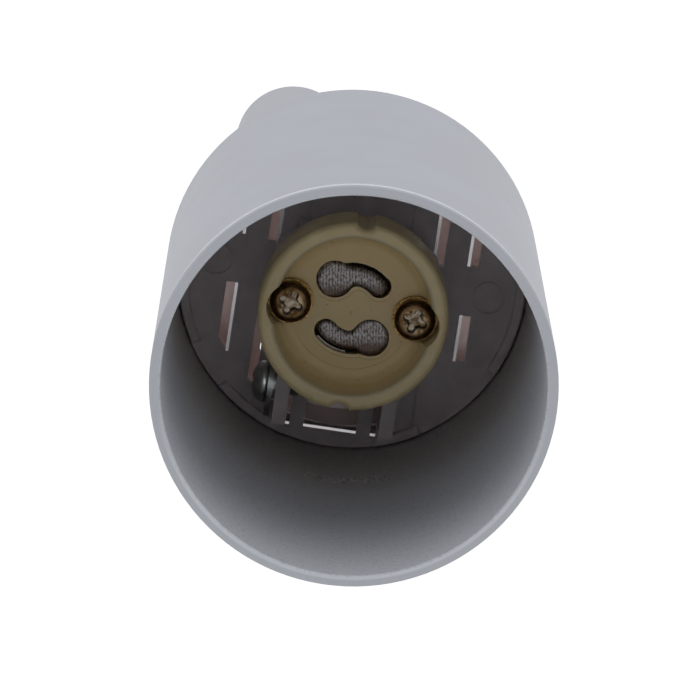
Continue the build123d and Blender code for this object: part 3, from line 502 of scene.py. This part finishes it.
def makePassivated(settings):
    material, tree, coords, axes = newMaterial("yellow passivated steel")
    cloud = addNode(tree, "ShaderNodeTexNoise", {
        "Vector": coords, "Scale": patternScale(settings["cloudMm"]), "Detail": 4.0})
    head = addNode(tree, "ShaderNodeValToRGB", {"Fac": cloud.outputs["Fac"]}, stops=[
        (0.35, settings["shade"]), (0.62, settings["colour"])]).outputs["Color"]
    # darker down the head's side
    side = maskOver(tree, (axes["Y"], *settings["sideDepths"]))
    head = addNode(tree, "ShaderNodeMix", {
        "Factor": side, "A": head, "B": toLinear(settings["shade"])},
        data_type="RGBA").outputs["Result"]
    # the spring washers are more golden, with a fine glitter
    glitter = addNode(tree, "ShaderNodeTexNoise", {
        "Vector": coords, "Scale": patternScale(settings["washerMm"]), "Detail": 2.0})
    gold = addNode(tree, "ShaderNodeValToRGB", {"Fac": glitter.outputs["Fac"]}, stops=[
        (0.42, settings["washerShade"]), (0.66, settings["washerColour"])]).outputs["Color"]
    washer = maskOver(tree, (axes["Y"], settings["washerFront"] - crispEdge, settings["washerFront"]),
                      (axes["Y"], settings["washerRear"] + crispEdge, settings["washerRear"]))
    head = addNode(tree, "ShaderNodeMix", {"Factor": washer, "A": head, "B": gold},
                   data_type="RGBA").outputs["Result"]

    # the driver has rubbed the face round the recess
    near = [radiusAbout(tree, coords, x, z) for x, z in settings["screwPlaces"]]
    radius = addNode(tree, "ShaderNodeMath", {0: near[0], 1: near[1]}, operation="MINIMUM").outputs[0]
    face = maskOver(tree, (radius, *settings["wornRadii"]),
                    (axes["Y"], settings["recessTop"] + crispEdge, settings["recessTop"]))
    wornStart, wornEnd = settings["wornLevels"]
    patchy = addNode(tree, "ShaderNodeMapRange", {
        "Value": cloud.outputs["Fac"], "From Min": wornStart, "From Max": wornEnd, "To Max": face})
    head = addNode(tree, "ShaderNodeMix", {
        "Factor": patchy.outputs[0], "A": head, "B": toLinear(settings["wornColour"])},
        data_type="RGBA").outputs["Result"]
    floor = addNode(tree, "ShaderNodeValToRGB", {"Fac": cloud.outputs["Fac"]}, stops=[
        (0.4, settings["recessShade"]), (0.6, settings["recessColour"])]).outputs["Color"]
    # the recess's top edge is worn to bright zinc and painted paler still as a painted highlight, fading
    # into the floor below
    below = maskOver(tree, (axes["Y"], *settings["edgeDepths"]))
    worn = addNode(tree, "ShaderNodeMix", {
        "Factor": below, "A": toLinear(settings["edgeHighlightColour"]), "B": floor},
        data_type="RGBA").outputs["Result"]
    recess = maskOver(tree, (radius, settings["recessRadius"] + crispEdge, settings["recessRadius"]),
                      (axes["Y"], settings["recessTop"] - crispEdge, settings["recessTop"]),
                      (axes["Y"], crispEdge, 0))
    colour = addNode(tree, "ShaderNodeMix", {"Factor": recess, "A": head, "B": worn},
                     data_type="RGBA").outputs["Result"]
    metal = addNode(tree, "ShaderNodeBsdfPrincipled", {
        "Base Color": colour, "Metallic": 1.0, "Roughness": settings["roughness"]})
    addNode(tree, "ShaderNodeOutputMaterial", {"Surface": metal.outputs[0]})
    return material


# Tinned contact brass, knurled: fine upright ribs under a grey, speckled tin; brown painted shade on its
# underside.
# The painted shade is placed by height, from 7 mm below the axis to 7 mm above it, and white is brown
# there.
contactTin = {
    "colour": "#B4B0B1",
    "shade": "#6A6361",
    "wornColour": "#574434",
    # painted shade on the contacts' underside
    "underShadeColour": "#4E3B2C",
    "underHeights": (-7.0, 7.0),
    "underPlaces": [(0.0, "#FFFFFF"), (0.1, "#FFFFFF"), (0.2, "#000000"), (0.5, "#000000"),
                    (0.51, "#FFFFFF"), (0.68, "#FFFFFF"), (0.79, "#000000")],
    "underShare": 0.85,
    "ribMm": 0.42,
    "ribShare": 0.13,
    "ribHeightMm": 0.05,
    "speckMm": 0.3,
    "speckStretch": (1.0, 0.35, 0.6),
    "metallic": 0.55,
    "roughness": 0.5,
}
waveBand = 0.314      # the wave texture's bands repeat every 0.314 of its scale


def makeContactTin(settings):
    material, tree, coords, axes = newMaterial("knurled tinned contact brass")
    streaks = addNode(tree, "ShaderNodeVectorMath", {0: coords, 1: settings["speckStretch"]},
                      operation="MULTIPLY").outputs[0]
    speck = addNode(tree, "ShaderNodeTexNoise", {
        "Vector": streaks, "Scale": patternScale(settings["speckMm"]), "Detail": 3.0,
        "Roughness": 0.65})
    ribs = addNode(tree, "ShaderNodeTexWave", {
        "Vector": coords, "Scale": waveBand * patternScale(settings["ribMm"]), "Distortion": 1.6,
        "Detail": 1.0, "Detail Scale": 0.6}, wave_type="BANDS", bands_direction="X",
        wave_profile="SIN")
    tone = addNode(tree, "ShaderNodeMath", {
        0: ribs.outputs["Fac"], 1: settings["ribShare"], 2: speck.outputs["Fac"]},
        operation="MULTIPLY_ADD").outputs[0]
    tin = addNode(tree, "ShaderNodeValToRGB", {"Fac": tone}, stops=[
        (0.4, settings["wornColour"]), (0.49, settings["shade"]), (0.68, settings["colour"])])
    height = maskOver(tree, (axes["Z"], *settings["underHeights"]))
    under = addNode(tree, "ShaderNodeValToRGB", {"Fac": height}, stops=settings["underPlaces"])
    part = addNode(tree, "ShaderNodeMath", {0: under.outputs["Color"], 1: settings["underShare"]},
                   operation="MULTIPLY").outputs[0]
    colour = addNode(tree, "ShaderNodeMix", {
        "Factor": part, "A": tin.outputs["Color"], "B": toLinear(settings["underShadeColour"])},
        data_type="RGBA").outputs["Result"]
    bump = addNode(tree, "ShaderNodeBump", {
        "Height": tone, "Distance": mm(settings["ribHeightMm"])})
    contact = addNode(tree, "ShaderNodeBsdfPrincipled", {
        "Base Color": colour, "Normal": bump.outputs[0], "Metallic": settings["metallic"],
        "Roughness": settings["roughness"]})
    addNode(tree, "ShaderNodeOutputMaterial", {"Surface": contact.outputs[0]})
    return material


# Plated and bare steels that share one recipe: a soft cloud of two tones under a satin gloss
steels = {
    "dark zinc plated steel": {
        "colour": "#D0D6D4", "shade": "#B2B9B8", "roughness": 0.3, "cloudMm": 1.5},
    "bright zinc plated steel": {
        "colour": "#B4B7B7", "shade": "#8B8F8F", "roughness": 0.32, "cloudMm": 1.2},
    "spring steel": {
        "colour": "#8A847C", "shade": "#5E5850", "roughness": 0.32, "cloudMm": 0.6},
}


def makeSteel(name):
    settings = steels[name]
    material, tree, coords, axes = newMaterial(name)
    cloud = addNode(tree, "ShaderNodeTexNoise", {
        "Vector": coords, "Scale": patternScale(settings["cloudMm"]), "Detail": 4.0})
    colour = addNode(tree, "ShaderNodeValToRGB", {"Fac": cloud.outputs["Fac"]}, stops=[
        (0.35, settings["shade"]), (0.62, settings["colour"])])
    metal = addNode(tree, "ShaderNodeBsdfPrincipled", {
        "Base Color": colour.outputs["Color"], "Metallic": 1.0, "Roughness": settings["roughness"]})
    addNode(tree, "ShaderNodeOutputMaterial", {"Surface": metal.outputs[0]})
    return material


# Moulded polyamide, the wire bush: plain and slightly soft in its edges
polyamide = {
    "colour": "#E6E5E0",
    "shade": "#D9D8D2",
    "cloudMm": 2.0,
    "roughness": 0.45,
}


def makePolyamide(settings):
    material, tree, coords, axes = newMaterial("moulded polyamide")
    cloud = addNode(tree, "ShaderNodeTexNoise", {
        "Vector": coords, "Scale": patternScale(settings["cloudMm"])})
    colour = addNode(tree, "ShaderNodeValToRGB", {"Fac": cloud.outputs["Fac"]}, stops=[
        (0.3, settings["shade"]), (0.7, settings["colour"])])
    plastic = addNode(tree, "ShaderNodeBsdfPrincipled", {
        "Base Color": colour.outputs["Color"], "Roughness": settings["roughness"]})
    addNode(tree, "ShaderNodeOutputMaterial", {"Surface": plastic.outputs[0]})
    return material


slotMaterials = {
    "powder_coat": makePowderCoat(powderCoat),
    "frame_casting": makeCastFrame(castFrame),
    "steatite": makeSteatite(steatite),
    "contact_metal": makeContactTin(contactTin),
    "spring_steel": makeSteel("spring steel"),
    "yellow_passivated_steel": makePassivated(passivated),
    "dark_zinc_steel": makeSteel("dark zinc plated steel"),
    "zinc_steel": makeSteel("bright zinc plated steel"),
    "bush_plastic": makePolyamide(polyamide),
}
nodeMaterials = {"rear_cap": makeCapCoat(capCoat)}      # a node with a finish of its own

for subpart in frame["record"]["subparts"]:
    piece = nodes[subpart["node"]]
    material = nodeMaterials.get(subpart["node"], slotMaterials[subpart["material_slot"]])
    if not piece.material_slots:
        piece.data.materials.append(material)
    for place in piece.material_slots:
        place.link = "OBJECT"
        place.material = material
print("materials assigned")


def meshPiece(name, points, faces, material):
    # a piece of the head in frame metres, from points in millimetres
    mesh = bpy.data.meshes.new(name)
    mesh.from_pydata([mm(*point) for point in points], [], faces)
    mesh.validate()
    mesh.shade_smooth()
    mesh.materials.append(material)
    piece = bpy.data.objects.new(name, mesh)
    bpy.context.collection.objects.link(piece)
    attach(piece, "root")
    return piece


insertTurn = 8.5      # degrees that the lamp holder and its frame sit turned in the can


def insertPoint(u, depth, w):
    # a point of the holder or its frame, given as if they sat upright
    turn = radians(insertTurn)
    return (u * cos(turn) + w * sin(turn), depth, -u * sin(turn) + w * cos(turn))


# Knurled contact faces: convex strips that fill the pin slots and roll back at their edges
contactFace = {
    "pathRadius": 5.0,
    "entryAngle": 129.0,
    "lockAngle": 48.0,
    "entryRadius": 2.66,
    "laneInner": 1.66,
    "laneOuter": 1.02,
    "cornerBlend": 0.9,
    "front": 0.02,
    "rollDepth": 0.75,
    "rollWidth": 0.85,
    "skirtDepth": 1.6,
    "stations": 120,
    "endCrowding": 0.65,      # how far the stations gather at the two ends
    "rows": 28,
}


def softest(a, b, blend):
    # the larger of two lengths, with a soft corner where they cross
    near = max(blend - abs(a - b), 0.0) / blend
    return max(a, b) + blend * near * near / 4


def makeContactFace(name, turn, settings, material):
    radius, entry = settings["pathRadius"], settings["entryRadius"]
    span = radians(settings["entryAngle"] - settings["lockAngle"])
    halfLane = (settings["laneInner"] + settings["laneOuter"]) / 2
    middle = (settings["laneOuter"] - settings["laneInner"]) / 2
    first, last = -asin(entry / radius), span + halfLane / radius
    points, faces = [], []
    rows, stations, crowding = settings["rows"], settings["stations"], settings["endCrowding"]
    for i in range(stations + 1):
        share = (1 - crowding) * i / stations + crowding * (1 - cos(pi * i / stations)) / 2
        angle = first + (last - first) * share
        room = entry ** 2 - (radius * sin(angle)) ** 2
        outer = inner = None
        if room >= 0 and angle < pi / 2:
            chord, sag = sqrt(room), radius * (1 - cos(angle))
            outer, inner = chord - sag, chord + sag
        if angle > 0:
            past = max(angle - span, 0) * radius / halfLane
            cap = halfLane * sqrt(max(1 - past * past, 0.0))
            laneOut, laneIn = cap + middle, cap - middle
            outer = laneOut if outer is None else softest(outer, laneOut, settings["cornerBlend"])
            inner = laneIn if inner is None else softest(inner, laneIn, settings["cornerBlend"])
        half, centre = (outer + inner) / 2, (outer - inner) / 2
        spin = radians(settings["entryAngle"] + turn) - angle
        for j in range(rows + 1):
            across = -cos(pi * j / rows)
            edge = min(half * (1 - abs(across)) / settings["rollWidth"], 1.0)
            roll = settings["rollDepth"] * (1 - sqrt(1 - (1 - edge) ** 2))
            reach = radius + centre + across * half
            points.append(insertPoint(reach * cos(spin), settings["front"] + roll, reach * sin(spin)))
    for i in range(stations):
        for j in range(rows):
            corner = i * (rows + 1) + j
            faces.append((corner, corner + 1, corner + rows + 2, corner + rows + 1))
    # the skirt goes straight back from the outline, into the pin slot
    outline = [i * (rows + 1) for i in range(stations + 1)]
    outline += [(i + 1) * (rows + 1) - 1 for i in range(stations, -1, -1)]
    start = len(points)
    points += [(points[k][0], settings["skirtDepth"], points[k][2]) for k in outline]
    count = len(outline)
    for k in range(count):
        after = (k + 1) % count
        faces.append((outline[k], start + k, start + after, outline[after]))
    meshPiece(name, points, faces, material)


for name, turn in (("contact_face_upper", 0.0), ("contact_face_lower", 180.0)):
    makeContactFace(name, turn, contactFace, slotMaterials["contact_metal"])
print("contact faces made")


# Earth screw: a smooth domed head with a cross recess, on the washers of the left cheek
earthHead = {
    "axisDepth": 19.0,
    "axisDrop": 16.1,
    "seat": 10.2,
    "radius": 3.1,
    "seatChamfer": (0.12, 0.15),
    "rimHeight": 0.45,
    "domeHeight": 1.95,
    "segments": 72,
    "rings": 22,
    "recessReach": 1.35,
    "recessSlope": 0.3,
    "recessHalfWidth": 0.55,
    "recessDepth": 0.7,
    "recessTurn": 0.4,
    "shankRadius": 1.5,
    "shankEnd": 5.5,
}


def makeEarthHead(settings, material):
    points, faces = [], []
    segments, rings = settings["segments"], settings["rings"]

    def place(out, radius, angle):
        depth = settings["axisDepth"] + radius * cos(angle)
        return insertPoint(-out, depth, -settings["axisDrop"] + radius * sin(angle))

    seat, shoulder = settings["seat"], settings["seat"] + settings["rimHeight"]
    chamferOut, chamferIn = settings["seatChamfer"]
    profile = [(settings["shankEnd"], settings["shankRadius"]), (seat, settings["shankRadius"]),
               (seat, settings["radius"] - chamferIn), (seat + chamferOut, settings["radius"]),
               (shoulder, settings["radius"])]
    for i in range(1, rings):
        lean = pi / 2 * i / rings
        profile.append((shoulder + settings["domeHeight"] * sin(lean), settings["radius"] * cos(lean)))
    for out, radius in profile:
        for k in range(segments):
            angle = 2 * pi * k / segments
            # the cross recess: the dome dips along two crossing lines
            sink = 0.0
            if out > shoulder:
                bladeAngle = angle + settings["recessTurn"]
                blade = min(abs(radius * cos(bladeAngle)), abs(radius * sin(bladeAngle)))
                sink = settings["recessDepth"] * max(0.0, 1 - (blade / settings["recessHalfWidth"]) ** 4)
                sink *= min(max((settings["recessReach"] - radius) / settings["recessSlope"], 0.0), 1.0)
            points.append(place(out - sink, radius, angle))
    for i in range(len(profile) - 1):
        for k in range(segments):
            after = (k + 1) % segments
            faces.append((i * segments + k, i * segments + after,
                          (i + 1) * segments + after, (i + 1) * segments + k))
    faces.append([(len(profile) - 1) * segments + k for k in range(segments)])
    faces.append(list(reversed(range(segments))))
    piece = meshPiece("earth_screw_domed", points, faces, material)
    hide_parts("earth_screw")


makeEarthHead(earthHead, slotMaterials["dark_zinc_steel"])
print("earth screw made")
